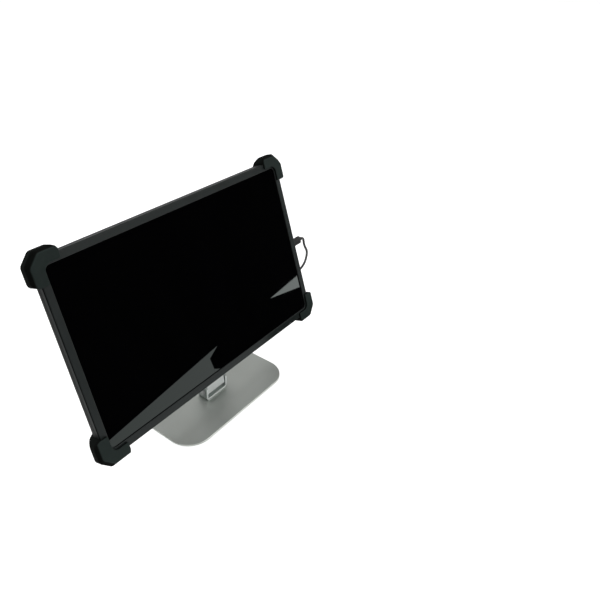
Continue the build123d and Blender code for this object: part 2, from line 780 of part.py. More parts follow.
def plug_shell():
    """The hollow metal tip of the plug."""
    face = -RELIEF_LEN - PLUG_LEN
    width = USB_W - 2 * (SOCKET_SKIN + SHELL_FIT)
    thick = SOCKET_H - 2 * (SOCKET_SKIN + SHELL_FIT)
    body = side_bar(plug_outline(width, thick, SOCKET_ROUND_SHARE), face - SHELL_LEN, face)
    hollow_w = width - 2 * SHELL_SKIN
    hollow_t = thick - 2 * SHELL_SKIN
    hollow = plug_outline(hollow_w, hollow_t, SOCKET_ROUND_SHARE)
    return body - side_bar(hollow, face - SHELL_LEN - OVER, face)


near_plug_at = display_at * Pos(PLUG_END_X, SOCKET_D, USB_U)
coil_angle = math.radians(COIL_TURN_DEG)
coil_out = Vector(math.cos(coil_angle), math.sin(coil_angle), 0)
coil_along = Vector(-math.sin(coil_angle), math.cos(coil_angle), 0)
coil_centre = Vector(COIL_X, COIL_Y, COIL_LOW)


def coil_path():
    """Half turns that spiral in on the desk, climb one layer and spiral out again."""
    step = COIL_PITCH / 2
    rise = Vector(0, 0, COIL_PITCH)
    edges = []
    place = coil_centre + coil_out * COIL_R
    side = 1
    inward = [COIL_R - i * step for i in range(COIL_HALF_TURNS)]
    for radius in inward:
        middle = place - coil_out * (side * radius)
        end = middle - coil_out * (side * radius)
        edges.append(ThreePointArc(place, middle + coil_along * (side * radius), end))
        place = end
        side = -side
    radius = inward[-1] - step
    middle = place - coil_out * (side * radius)
    swell = math.hypot(radius, COIL_PITCH / 2)
    top = middle + coil_along * (side * swell) + rise / 2
    edges.append(TangentArc(place, top, tangent=coil_along * side))
    place = middle - coil_out * (side * radius) + rise
    edges.append(TangentArc(place, top, tangent=coil_along * side))
    edges[-1] = edges[-1].reversed()
    side = -side
    for radius in reversed(inward):
        middle = place - coil_out * (side * radius)
        end = middle - coil_out * (side * radius)
        edges.append(ThreePointArc(place, middle + coil_along * (side * radius), end))
        place = end
        side = -side
    return edges


def least_gap(edges):
    """Least air between turns, measured on points a fraction of the cable apart."""
    points = []
    travel = 0.0
    spacing = CABLE_D / 3
    for edge in edges:
        count = max(2, round(edge.length / spacing))
        points += [(travel + edge.length * i / count, edge @ (i / count)) for i in range(count)]
        travel += edge.length
    apart = 4 * CABLE_D
    gaps = [
        (a - b).length
        for i, (s, a) in enumerate(points)
        for t, b in points[i + 1:]
        if t - s > apart
    ]
    return min(gaps) - CABLE_D


def tube(path, name):
    """A cable stretch along a path, with its volume set against section times length."""
    start = Plane(origin=path @ 0, z_dir=path % 0)
    body = sweep(start * Circle(CABLE_D / 2), path=path)
    share = body.volume / (math.pi * CABLE_D ** 2 / 4 * path.length)
    print(name, "length", round(path.length, 1), "volume against section times length", round(share, 4))
    return body


def rounded_route(points, name):
    """Straight runs joined by arcs as large as the runs beside them allow."""
    end_share = 0.9
    middle_share = 0.45
    points = [Vector(p) for p in points]
    runs = [after - before for before, after in zip(points, points[1:])]
    room = [run.length * middle_share for run in runs]
    room[0] = runs[0].length * end_share
    room[-1] = runs[-1].length * end_share
    radii = []
    for i in range(len(runs) - 1):
        half_turn = math.radians(runs[i].get_angle(runs[i + 1])) / 2
        radii.append(min(room[i], room[i + 1]) / math.tan(half_turn))
    print(name, "radii", [round(r, 1) for r in radii])
    return FilletPolyline(*points, radius=radii)


def cable_lead():
    exit_place = near_plug_at.position
    first = exit_place + Vector(LEAD_RUN, 0, 0)
    landing = coil_centre + coil_out * COIL_R
    last = landing - coil_along * LANDING_RUN
    return tube(rounded_route([exit_place, first, *LEAD_POINTS, last, landing], "lead"), "lead")


def cable_coil():
    edges = coil_path()
    print("coil least gap", round(least_gap(edges), 3))
    return tube(Wire(edges), "coil")


def tail_points():
    start = coil_path()[-1] @ 1
    ahead = -coil_along
    return [start] + [start + ahead * run + Vector(0, 0, drop) for run, drop in TAIL_STEPS]


def cable_tail():
    return tube(rounded_route(tail_points(), "tail"), "tail")


def far_plug_at():
    end = tail_points()[-1]
    heading = math.degrees(math.atan2(coil_along.Y, coil_along.X))
    return Pos(*end) * Rot(0, 0, heading) * Rot(90, 0, 0)


def cable_tie():
    """Strap round the coil's bundle."""
    wide = TIE_OUT - TIE_IN
    tall = COIL_PITCH + CABLE_D + 2 * TIE_GAP
    ring = RectangleRounded(wide + 2 * TIE_T, tall + 2 * TIE_T, TIE_R + TIE_T)
    ring -= RectangleRounded(wide, tall, TIE_R)
    centre = coil_centre - coil_out * (COIL_PITCH / 2 + TIE_LEN / 2)
    centre += coil_along * ((TIE_OUT + TIE_IN) / 2) + Vector(0, 0, COIL_PITCH / 2)
    return extrude(Plane(origin=centre, x_dir=coil_along, z_dir=coil_out) * ring, amount=TIE_LEN)


corner = bumper()
display_nodes = {
    "front_bezel": front_bezel(),
    "screen_gasket": screen_gasket(),
    "cover_glass": cover_glass(),
    "lcd_panel": lcd_panel(),
    "chassis_plate": chassis_plate(),
    "perimeter_seal": perimeter_seal(),
    "rear_cover": rear_cover(),
    "cover_screws": cover_screws(),
    "stand_inserts": stand_inserts(),
    "main_board": main_board(),
    "board_chips": board_chips(),
    "board_screws": board_screws(),
    "panel_flex": panel_flex(),
    "usb_sockets": usb_sockets(),
    "hdmi_socket": hdmi_socket(),
    "key_switches": key_switches(),
    "power_key": key(KEY_US[0]),
    "menu_up_key": key(KEY_US[1]),
    "menu_down_key": key(KEY_US[2]),
    "bumper_top_right": corner,
    "bumper_top_left": mirror(corner, about=Plane.YZ),
    "bumper_bottom_right": mirror(corner, about=Plane.XY),
    "bumper_bottom_left": mirror(mirror(corner, about=Plane.YZ), about=Plane.XY),
    "head_plate": head_plate(),
    "head_screws": head_screws(),
    "stand_arm": stand_arm(),
    "arm_screws": arm_screws(),
}
nodes = {name: display_at * shape for name, shape in display_nodes.items()}
nodes |= {
    "base_plate": base_plate(),
    "base_pad": base_pad(),
    "hinge_bracket": hinge_bracket(),
    "bracket_screws": bracket_screws(),
    "hinge_pin": hinge_pin(),
    "pin_nut": pin_nut(),
    "hinge_washers": hinge_washers(),
    "plug_boot": near_plug_at * plug_boot(),
    "plug_shell": near_plug_at * plug_shell(),
    "cable_lead": cable_lead(),
    "cable_coil": cable_coil(),
    "cable_tail": cable_tail(),
    "cable_tie": cable_tie(),
    "far_plug_boot": far_plug_at() * plug_boot(),
    "far_plug_shell": far_plug_at() * plug_shell(),
}

os.makedirs("parts", exist_ok=True)
for name, shape in nodes.items():
    export_step(shape, f"parts/{name}.step")
print("hinge axis", round(HINGE_Y, 3), round(HINGE_Z, 3), "cable exit", near_plug_at.position)
print("desk to the middle of the lip", display_at.position)
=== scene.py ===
import math

import bpy
from mathutils import Matrix, Vector


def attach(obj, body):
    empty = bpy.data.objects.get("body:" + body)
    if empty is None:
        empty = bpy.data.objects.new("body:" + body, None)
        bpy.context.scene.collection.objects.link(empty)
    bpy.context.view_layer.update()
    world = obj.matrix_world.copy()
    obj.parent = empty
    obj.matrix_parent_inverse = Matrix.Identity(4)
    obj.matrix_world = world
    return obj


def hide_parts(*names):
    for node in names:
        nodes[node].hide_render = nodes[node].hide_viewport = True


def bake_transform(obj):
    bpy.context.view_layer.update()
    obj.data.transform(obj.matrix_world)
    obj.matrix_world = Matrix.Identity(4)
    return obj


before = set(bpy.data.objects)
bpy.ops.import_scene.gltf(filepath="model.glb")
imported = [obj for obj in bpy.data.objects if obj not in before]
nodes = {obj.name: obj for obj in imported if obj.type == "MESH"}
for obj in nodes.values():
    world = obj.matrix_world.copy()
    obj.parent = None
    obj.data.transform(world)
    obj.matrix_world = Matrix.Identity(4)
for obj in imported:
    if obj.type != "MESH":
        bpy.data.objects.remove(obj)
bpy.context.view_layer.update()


# Front bezel: the moulded frame round the screen, with a raised lip and a groove along each side.
# A tough, slightly rubbery plastic with a fine spark-eroded grain, handled a little smoother on its edges.
# The rear cover's screws pull it on to the seal.
def surface_group():
    """A made surface: fine grain, slow changes of tone and gloss, softened edges in a lighter edge colour
    that is rubbing by use and, on some finishes, also a painted highlight.
    """
    group = bpy.data.node_groups.new("made_surface", "ShaderNodeTree")
    sockets = (
        ("Vector", "INPUT", "NodeSocketVector"),
        ("Grains per metre", "INPUT", "NodeSocketFloat"),
        ("Patches per metre", "INPUT", "NodeSocketFloat"),
        ("Dark", "INPUT", "NodeSocketColor"),
        ("Light", "INPUT", "NodeSocketColor"),
        ("Worn and highlit", "INPUT", "NodeSocketColor"),
        ("Smooth", "INPUT", "NodeSocketFloat"),
        ("Rough", "INPUT", "NodeSocketFloat"),
        ("Edge radius", "INPUT", "NodeSocketFloat"),
        ("Edge wear", "INPUT", "NodeSocketFloat"),
        ("Color", "OUTPUT", "NodeSocketColor"),
        ("Roughness", "OUTPUT", "NodeSocketFloat"),
        ("Height", "OUTPUT", "NodeSocketFloat"),
        ("Normal", "OUTPUT", "NodeSocketVector"),
    )
    for name, way, kind in sockets:
        group.interface.new_socket(name, in_out=way, socket_type=kind)
    put = group.nodes.new
    join = group.links.new
    entry = put("NodeGroupInput")
    leave = put("NodeGroupOutput")

    fine = put("ShaderNodeTexNoise")
    fine.inputs["Detail"].default_value = 3.0
    join(entry.outputs["Vector"], fine.inputs["Vector"])
    join(entry.outputs["Grains per metre"], fine.inputs["Scale"])
    patch = put("ShaderNodeTexNoise")
    patch.inputs["Detail"].default_value = 5.0
    patch.inputs["Distortion"].default_value = 0.6
    join(entry.outputs["Vector"], patch.inputs["Vector"])
    join(entry.outputs["Patches per metre"], patch.inputs["Scale"])
    spread = put("ShaderNodeMapRange")
    spread.inputs["From Min"].default_value = 0.32
    spread.inputs["From Max"].default_value = 0.68
    join(patch.outputs["Fac"], spread.inputs["Value"])
    tone = put("ShaderNodeMix")
    tone.data_type = "RGBA"
    join(spread.outputs["Result"], tone.inputs["Factor"])
    join(entry.outputs["Dark"], tone.inputs["A"])
    join(entry.outputs["Light"], tone.inputs["B"])

    rounded = put("ShaderNodeBevel")
    rounded.samples = 6
    join(entry.outputs["Edge radius"], rounded.inputs["Radius"])
    flat = put("ShaderNodeNewGeometry")
    facing = put("ShaderNodeVectorMath")
    facing.operation = "DOT_PRODUCT"
    join(rounded.outputs["Normal"], facing.inputs[0])
    join(flat.outputs["Normal"], facing.inputs[1])
    edge = put("ShaderNodeMapRange")
    edge.inputs["From Min"].default_value = 0.99
    edge.inputs["From Max"].default_value = 0.80
    join(facing.outputs["Value"], edge.inputs["Value"])
    edge_patches = put("ShaderNodeMath")
    edge_patches.operation = "MULTIPLY"
    join(edge.outputs["Result"], edge_patches.inputs[0])
    join(spread.outputs["Result"], edge_patches.inputs[1])
    wear_and_highlight = put("ShaderNodeMath")
    wear_and_highlight.operation = "MULTIPLY"
    join(edge_patches.outputs["Value"], wear_and_highlight.inputs[0])
    join(entry.outputs["Edge wear"], wear_and_highlight.inputs[1])
    worn_and_highlit = put("ShaderNodeMix")
    worn_and_highlit.data_type = "RGBA"
    join(wear_and_highlight.outputs["Value"], worn_and_highlit.inputs["Factor"])
    join(tone.outputs["Result"], worn_and_highlit.inputs["A"])
    join(entry.outputs["Worn and highlit"], worn_and_highlit.inputs["B"])

    both = put("ShaderNodeMix")
    both.inputs["Factor"].default_value = 0.4
    join(fine.outputs["Fac"], both.inputs["A"])
    join(spread.outputs["Result"], both.inputs["B"])
    gloss = put("ShaderNodeMapRange")
    gloss.inputs["From Min"].default_value = 0.25
    gloss.inputs["From Max"].default_value = 0.75
    join(both.outputs["Result"], gloss.inputs["Value"])
    join(entry.outputs["Smooth"], gloss.inputs["To Min"])
    join(entry.outputs["Rough"], gloss.inputs["To Max"])

    join(worn_and_highlit.outputs["Result"], leave.inputs["Color"])
    join(gloss.outputs["Result"], leave.inputs["Roughness"])
    join(fine.outputs["Fac"], leave.inputs["Height"])
    join(rounded.outputs["Normal"], leave.inputs["Normal"])
    return group


made_surface = surface_group()
DISPLAY_LEAN = math.radians(18.3)


def surfaced(
    name, dark, light, gloss, grains, patches, depth,
    worn_and_highlit=None, wear_and_highlight=0.5, edge=0.0005, stretch=(1, 1, 1), turn=0.0, metallic=0.0, specular=0.5,
):
    """A material with the made surface; stretch draws the grain out, turn leans it with the display."""
    material = bpy.data.materials.new(name)
    material.use_nodes = True
    tree = material.node_tree
    shader = tree.nodes["Principled BSDF"]
    shader.inputs["Metallic"].default_value = metallic
    shader.inputs["Specular IOR Level"].default_value = specular
    place = tree.nodes.new("ShaderNodeTexCoord")
    mapping = tree.nodes.new("ShaderNodeMapping")
    mapping.inputs["Scale"].default_value = stretch
    mapping.inputs["Rotation"].default_value = (turn, 0, 0)
    tree.links.new(place.outputs["Object"], mapping.inputs["Vector"])
    surface = tree.nodes.new("ShaderNodeGroup")
    surface.node_tree = made_surface
    tree.links.new(mapping.outputs["Vector"], surface.inputs["Vector"])
    surface.inputs["Grains per metre"].default_value = grains
    surface.inputs["Patches per metre"].default_value = patches
    surface.inputs["Dark"].default_value = (*dark, 1.0)
    surface.inputs["Light"].default_value = (*light, 1.0)
    surface.inputs["Worn and highlit"].default_value = (*(worn_and_highlit or light), 1.0)
    surface.inputs["Smooth"].default_value = gloss[0]
    surface.inputs["Rough"].default_value = gloss[1]
    surface.inputs["Edge radius"].default_value = edge
    surface.inputs["Edge wear"].default_value = wear_and_highlight
    bump = tree.nodes.new("ShaderNodeBump")
    bump.inputs["Strength"].default_value = 1.0
    bump.inputs["Distance"].default_value = depth
    tree.links.new(surface.outputs["Height"], bump.inputs["Height"])
    tree.links.new(surface.outputs["Normal"], bump.inputs["Normal"])
    tree.links.new(surface.outputs["Color"], shader.inputs["Base Color"])
    tree.links.new(surface.outputs["Roughness"], shader.inputs["Roughness"])
    tree.links.new(bump.outputs["Normal"], shader.inputs["Normal"])
    return material


def finish_nodes(material, *names):
    for name in names:
        data = nodes[name].data
        data.materials.clear()
        data.materials.append(material)


def shade_along(material, direction, stops, painted_shade, roughest):
    """Paints shade into a material: darkens and roughens it by the amounts given at distances along a
    direction.
    """
    tree = material.node_tree
    shader = tree.nodes["Principled BSDF"]
    place = tree.nodes.new("ShaderNodeTexCoord")
    distance = tree.nodes.new("ShaderNodeVectorMath")
    distance.operation = "DOT_PRODUCT"
    distance.inputs[1].default_value = direction
    tree.links.new(place.outputs["Object"], distance.inputs[0])
    first, last = stops[0][0], stops[-1][0]
    reach = tree.nodes.new("ShaderNodeMapRange")
    reach.inputs["From Min"].default_value = first
    reach.inputs["From Max"].default_value = last
    tree.links.new(distance.outputs["Value"], reach.inputs["Value"])
    amount = tree.nodes.new("ShaderNodeValToRGB")
    marks = amount.color_ramp.elements
    for _ in stops[2:]:
        marks.new(0.5)
    for mark, (at, share) in zip(marks, stops):
        mark.position = (at - first) / (last - first)
        mark.color = (share, share, share, 1.0)
    tree.links.new(reach.outputs["Result"], amount.inputs["Fac"])
    tinted = tree.nodes.new("ShaderNodeMix")
    tinted.data_type = "RGBA"
    tinted.blend_type = "MULTIPLY"
    tinted.inputs["B"].default_value = (*painted_shade, 1.0)
    tree.links.new(amount.outputs["Color"], tinted.inputs["Factor"])
    tree.links.new(shader.inputs["Base Color"].links[0].from_socket, tinted.inputs["A"])
    tree.links.new(tinted.outputs["Result"], shader.inputs["Base Color"])
    dulled = tree.nodes.new("ShaderNodeMix")
    dulled.inputs["B"].default_value = roughest
    tree.links.new(amount.outputs["Color"], dulled.inputs["Factor"])
    tree.links.new(shader.inputs["Roughness"].links[0].from_socket, dulled.inputs["A"])
    tree.links.new(dulled.outputs["Result"], shader.inputs["Roughness"])


DISPLAY_BACK = Vector((0, math.cos(DISPLAY_LEAN), -math.sin(DISPLAY_LEAN)))
LIP_MIDDLE = Vector((0, -0.01909, 0.154422))
lip_front = LIP_MIDDLE.dot(DISPLAY_BACK)
slate_frame = surfaced(
    "slate_frame", dark=(0.0125, 0.0174, 0.0166), light=(0.0165, 0.0220, 0.0212), gloss=(0.38, 0.52),
    grains=1700, patches=24, depth=0.00004, worn_and_highlit=(0.040, 0.046, 0.045), specular=0.29,
)
# Painted shade: a band 0.5 to 2.6 mm behind the lip's front, where the groove runs round the bezel's sides,
# is darkened and roughened to stand in for the shade in the groove.
GROOVE_SHADE_STOPS = ((0.0003, 0.0), (0.0005, 1.0), (0.0026, 1.0), (0.0028, 0.0))
GROOVE_PAINTED_SHADE = (0.05, 0.05, 0.05)
groove_shade_stops = [(lip_front + depth, share) for depth, share in GROOVE_SHADE_STOPS]
shade_along(slate_frame, DISPLAY_BACK, groove_shade_stops, GROOVE_PAINTED_SHADE, roughest=1.0)
finish_nodes(slate_frame, "front_bezel")

# Screen: a black glass front over the panel, on a foam gasket behind the lip.
# The glass is optically smooth, with faint wiping marks that only change its gloss.
screen_glass = surfaced(
    "screen_glass", dark=(0.0008, 0.0008, 0.0010), light=(0.0012, 0.0012, 0.0015), gloss=(0.006, 0.025),
    grains=70, patches=9, depth=0.0, wear_and_highlight=0.0, edge=0.0002, stretch=(1, 0.35, 0.35), turn=DISPLAY_LEAN,
    specular=0.42,
)
GLASS_SHEEN = (0.86, 1.0, 0.95, 1.0)
glass_shader = screen_glass.node_tree.nodes["Principled BSDF"]
glass_shader.inputs["Specular Tint"].default_value = GLASS_SHEEN
finish_nodes(screen_glass, "cover_glass")
panel_film = surfaced(
    "panel_film", dark=(0.004, 0.004, 0.005), light=(0.007, 0.007, 0.008), gloss=(0.2, 0.3),
    grains=400, patches=20, depth=0.00001,
)
finish_nodes(panel_film, "lcd_panel")
black_foam = surfaced(
    "black_foam", dark=(0.006, 0.006, 0.006), light=(0.012, 0.012, 0.012), gloss=(0.8, 0.95),
    grains=2600, patches=60, depth=0.00012, specular=0.2,
)
finish_nodes(black_foam, "screen_gasket", "perimeter_seal")

# Inside the housing: chassis sheet, board with its chips, switches and sockets, flex, threaded inserts.
# Rolled sheet, green laminate, moulded resin, amber film, plated steel and brass; screws hold the board.
rolled_sheet = surfaced(
    "rolled_sheet", dark=(0.48, 0.48, 0.48), light=(0.58, 0.58, 0.58), gloss=(0.3, 0.5),
    grains=500, patches=30, depth=0.00002, stretch=(1, 12, 12), turn=DISPLAY_LEAN, metallic=1.0,
)
finish_nodes(rolled_sheet, "chassis_plate")
laminate = surfaced(
    "laminate", dark=(0.010, 0.065, 0.025), light=(0.016, 0.095, 0.038), gloss=(0.25, 0.4),
    grains=600, patches=50, depth=0.00003, worn_and_highlit=(0.30, 0.27, 0.15),
)
finish_nodes(laminate, "main_board")
chip_resin = surfaced(
    "chip_resin", dark=(0.010, 0.010, 0.011), light=(0.018, 0.018, 0.019), gloss=(0.55, 0.75),
    grains=1500, patches=70, depth=0.00003,
)
finish_nodes(chip_resin, "board_chips", "key_switches")
amber_film = surfaced(
    "amber_film", dark=(0.32, 0.16, 0.03), light=(0.45, 0.24, 0.05), gloss=(0.2, 0.35),
    grains=300, patches=60, depth=0.00001,
)
finish_nodes(amber_film, "panel_flex")
plated_steel = surfaced(
    "plated_steel", dark=(0.45, 0.46, 0.48), light=(0.58, 0.59, 0.61), gloss=(0.22, 0.4),
    grains=900, patches=60, depth=0.00001, stretch=(0.2, 1, 1), metallic=1.0, edge=0.00015,
)
finish_nodes(plated_steel, "usb_sockets", "hdmi_socket", "plug_shell", "far_plug_shell", "board_screws")
insert_brass = surfaced(
    "insert_brass", dark=(0.48, 0.32, 0.11), light=(0.62, 0.44, 0.17), gloss=(0.25, 0.45),
    grains=800, patches=80, depth=0.00002, metallic=1.0,
)
finish_nodes(insert_brass, "stand_inserts")

# Rear cover and its screws: the moulded back shell, in a grained black plastic coarser than the bezel's.
# Eight screws in deep wells pull it on to the bezel; their heads are blackened.
rear_plastic = surfaced(
    "rear_plastic", dark=(0.016, 0.017, 0.017), light=(0.022, 0.023, 0.023), gloss=(0.55, 0.72),
    grains=1000, patches=18, depth=0.00009, worn_and_highlit=(0.045, 0.047, 0.047), specular=0.35,
)
finish_nodes(rear_plastic, "rear_cover")
black_oxide = surfaced(
    "black_oxide", dark=(0.010, 0.010, 0.011), light=(0.022, 0.022, 0.023), gloss=(0.35, 0.5),
    grains=700, patches=90, depth=0.00002, worn_and_highlit=(0.30, 0.30, 0.30), edge=0.0002, metallic=0.8,
)
finish_nodes(black_oxide, "cover_screws")

# Keys on the right side: small moulded caps that slide in the wall and push the switches inside.
# The same black plastic, worn smoother by use.
key_plastic = surfaced(
    "key_plastic", dark=(0.018, 0.019, 0.019), light=(0.026, 0.027, 0.027), gloss=(0.38, 0.52),
    grains=1400, patches=90, depth=0.00003, worn_and_highlit=(0.06, 0.06, 0.06), edge=0.0003,
)
finish_nodes(key_plastic, "power_key", "menu_up_key", "menu_down_key")

# Corner bumpers: thick elastomer mouldings wrapped round the four corners.
# They are stretched on over the finished housing and grip it by their flaps.
# The rubber is slate like the bezel's; behind its front face the sides and back are darkened with painted
# shade.
bumper_rubber = surfaced(
    "bumper_rubber", dark=(0.0195, 0.0285, 0.0260), light=(0.0245, 0.0350, 0.0320), gloss=(0.48, 0.66),
    grains=1300, patches=40, depth=0.00006, worn_and_highlit=(0.024, 0.030, 0.030), edge=0.0008, specular=0.10,
)
# Painted shade: from just behind the front face backwards, the bumper's colour is darkened to near black
# and roughened, standing in for the shade on its sides.
BUMPER_SHADE_STOPS = ((-0.0028, 0.0), (-0.0016, 1.0), (0.0010, 1.0), (0.0036, 0.90))
BUMPER_PAINTED_SHADE = (0.10, 0.09, 0.08)
bumper_shade_stops = [(lip_front + depth, share) for depth, share in BUMPER_SHADE_STOPS]
shade_along(bumper_rubber, DISPLAY_BACK, bumper_shade_stops, BUMPER_PAINTED_SHADE, roughest=1.0)
finish_nodes(
    bumper_rubber, "bumper_top_right", "bumper_top_left", "bumper_bottom_right", "bumper_bottom_left"
)

# Stand: head plate and arm on the display, bent hinge bracket and plate on the desk.
# Aluminium: the plate is bead blasted and clear anodised to a soft satin, the milled pieces have
# a silver lacquer, and the bracket is bent from sheet. The bracket's front edges keep a bright
# painted highlight and the rest of it is darkened with painted shade.
satin_aluminium = surfaced(
    "satin_aluminium", dark=(0.49, 0.515, 0.485), light=(0.55, 0.575, 0.545), gloss=(0.40, 0.50),
    grains=3200, patches=11, depth=0.000008, wear_and_highlight=0.0, edge=0.0004, metallic=1.0,
)
finish_nodes(satin_aluminium, "base_plate")
# The lacquer's lighter edge colour is partly wear and partly a painted highlight along its rounded edges.
silver_lacquer = surfaced(
    "silver_lacquer", dark=(0.67, 0.700, 0.690), light=(0.75, 0.780, 0.770), gloss=(0.30, 0.42),
    grains=3200, patches=30, depth=0.000008, worn_and_highlit=(0.90, 0.91, 0.91), wear_and_highlight=0.9, edge=0.0005, metallic=0.2,
)
finish_nodes(silver_lacquer, "stand_arm", "head_plate")
# The sheet's lighter edge colour is partly wear and partly a painted highlight along its rounded edges.
bent_sheet = surfaced(
    "bent_sheet", dark=(0.80, 0.84, 0.82), light=(0.88, 0.92, 0.90), gloss=(0.28, 0.40),
    grains=3200, patches=30, depth=0.000008, worn_and_highlit=(0.93, 0.94, 0.94), edge=0.0004, metallic=0.2,
)
# Painted highlight and shade: the bracket's front edges keep the bright colour as a painted highlight, and
# from 0.2 mm behind its front everything is darkened with painted shade.
BRACKET_FRONT = -0.0365
LIT_FRONT_STOPS = ((0.0002, 0.0), (0.0007, 1.0))
BRACKET_PAINTED_SHADE = (0.43, 0.46, 0.45)
lit_front_stops = [(BRACKET_FRONT + depth, share) for depth, share in LIT_FRONT_STOPS]
shade_along(bent_sheet, Vector((0, 1, 0)), lit_front_stops, BRACKET_PAINTED_SHADE, roughest=0.40)
finish_nodes(bent_sheet, "hinge_bracket")

# Fasteners and pivot of the stand: socket screws, pin with its round head, nut, nylon washers, pad.
# Plain turned steel and black nylon; the pad under the plate is thin ribbed rubber.
stand_steel = surfaced(
    "stand_steel", dark=(0.46, 0.46, 0.47), light=(0.56, 0.56, 0.57), gloss=(0.25, 0.4),
    grains=900, patches=60, depth=0.00001, worn_and_highlit=(0.7, 0.7, 0.7), edge=0.0003, metallic=1.0,
)
finish_nodes(stand_steel, "head_screws", "arm_screws", "bracket_screws", "hinge_pin", "pin_nut")
black_nylon = surfaced(
    "black_nylon", dark=(0.015, 0.015, 0.015), light=(0.025, 0.025, 0.025), gloss=(0.4, 0.55),
    grains=900, patches=60, depth=0.00003,
)
finish_nodes(black_nylon, "hinge_washers")
pad_rubber = surfaced(
    "pad_rubber", dark=(0.014, 0.014, 0.015), light=(0.022, 0.022, 0.023), gloss=(0.7, 0.9),
    grains=420, patches=40, depth=0.0003, stretch=(1, 0.02, 1), specular=0.3,
)
finish_nodes(pad_rubber, "base_pad")

# Cable: a thin round lead from the plug in the right side, down to the desk and into a neat coil.
# One soft black jacket all along.
CABLE_D = 0.0035
CABLE_EXIT = Vector((0.2135, -0.0128266, 0.140238))
COIL_CENTRE = Vector((0.140, 0.070, 0.0034))
COIL_TURN = math.radians(53.13)
COIL_RADII = (0.024, 0.022, 0.020, 0.018, 0.016)
COIL_RISE = 0.004
POINTS_PER_HALF_TURN = 8
TAIL_RUNS = ((0.015, 0.0), (0.034, -COIL_RISE), (0.048, -COIL_RISE))
EXIT_RUN = 0.0064
STEPS_PER_POINT = 6
coil_out = Vector((math.cos(COIL_TURN), math.sin(COIL_TURN), 0))
coil_along = Vector((-math.sin(COIL_TURN), math.cos(COIL_TURN), 0))
lead_route = [
    CABLE_EXIT,
    CABLE_EXIT + Vector((EXIT_RUN, 0, 0)),
    Vector((0.2230, -0.0128, 0.1250)),
    Vector((0.2345, -0.0130, 0.1090)),
    Vector((0.2450, 0.0020, 0.0700)),
    Vector((0.2260, 0.0400, 0.0260)),
    Vector((0.1848, 0.0664, 0.0034)),
]


def coil_points():
    """Points of the coil: half turns that wind in, climb one layer and wind out again."""
    climb = COIL_RADII[-1] - (COIL_RADII[0] - COIL_RADII[1])
    turns = [(radius, 0.0, 0.0) for radius in COIL_RADII]
    turns += [(climb, 0.0, COIL_RISE)]
    turns += [(radius, COIL_RISE, COIL_RISE) for radius in reversed(COIL_RADII)]
    step = math.pi / POINTS_PER_HALF_TURN
    outside = 1 / math.cos(step / 2)
    at, side, points = COIL_RADII[0], 1, []
    for radius, low, high in turns:
        middle = at - side * radius
        for i in range(POINTS_PER_HALF_TURN):
            angle = (i + 0.5) * step
            share = (i + 0.5) / POINTS_PER_HALF_TURN
            out = middle + side * radius * outside * math.cos(angle)
            along = side * radius * outside * math.sin(angle)
            lift = Vector((0, 0, low + (high - low) * share))
            points.append(COIL_CENTRE + coil_out * out + coil_along * along + lift)
        at = middle - side * radius
        side = -side
    return points, COIL_CENTRE + coil_out * at + Vector((0, 0, COIL_RISE))


coil_route, tail_start = coil_points()
tail_route = [tail_start - coil_along * run + Vector((0, 0, drop)) for run, drop in TAIL_RUNS]
route = lead_route + coil_route + tail_route


def deselect_all():
    bpy.ops.object.select_all(action="DESELECT")


def smooth_line(name, points, resolution):
    """A smooth curve that passes near its points, as a cable lies."""
    data = bpy.data.curves.new(name, "CURVE")
    data.dimensions = "3D"
    spline = data.splines.new("NURBS")
    spline.points.add(len(points) - 1)
    for place, point in zip(spline.points, points):
        place.co = (*point, 1.0)
    spline.order_u = 3
    spline.use_endpoint_u = True
    spline.resolution_u = resolution
    line = bpy.data.objects.new(name, data)
    bpy.context.scene.collection.objects.link(line)
    return line


cable = smooth_line("cable", route, STEPS_PER_POINT)
line_mesh = bpy.data.meshes.new_from_object(cable)
cable.data.bevel_depth = CABLE_D / 2
cable.data.bevel_resolution = 5
cable.data.use_fill_caps = True
deselect_all()
cable.select_set(True)
bpy.context.view_layer.objects.active = cable
bpy.ops.object.convert(target="MESH")
cable = bpy.context.view_layer.objects.active
bpy.ops.object.shade_smooth()
cable_jacket = surfaced(
    "cable_jacket", dark=(0.010, 0.011, 0.011), light=(0.015, 0.016, 0.016), gloss=(0.38, 0.5),
    grains=1800, patches=80, depth=0.00003, edge=0.0002, specular=0.4,
)
cable.data.materials.clear()
cable.data.materials.append(cable_jacket)
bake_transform(cable)
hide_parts("cable_lead", "cable_coil", "cable_tail")

# Plugs: one in the side socket, one free at the end of the tail.
# A soft black moulding over the connector, with grip grooves, drawn down to a ringed strain relief.
PLUG_LEN = 0.0234
PLUG_T = 0.0064
PLUG_W = 0.0110
PLUG_ROUND = 0.00288
PLUG_EDGE = 0.0010
RELIEF_LEN = 0.0040
RELIEF_R = 0.0029
RELIEF_END_R = 0.0023
RELIEF_RINGS = 3
RING_PINCH = 0.86
GRIP_HALF = 0.0006
GRIP_PLACES = (-0.0210, -0.0186, -0.0162, -0.0138, -0.0114)
GRIP_PINCH = (1.0, 0.88, 0.93)
END_FACING = 0.9


def enter_edit():
    bpy.ops.object.mode_set(mode="EDIT")


def leave_edit():
    bpy.ops.object.mode_set(mode="OBJECT")


def pick_in(part, mode):
    """Makes one part active, ready to have some of its vertices, edges or faces picked."""
    deselect_all()
    part.select_set(True)
    bpy.context.view_layer.objects.active = part
    enter_edit()
    bpy.ops.mesh.select_mode(type=mode)
    bpy.ops.mesh.select_all(action="DESELECT")
    leave_edit()


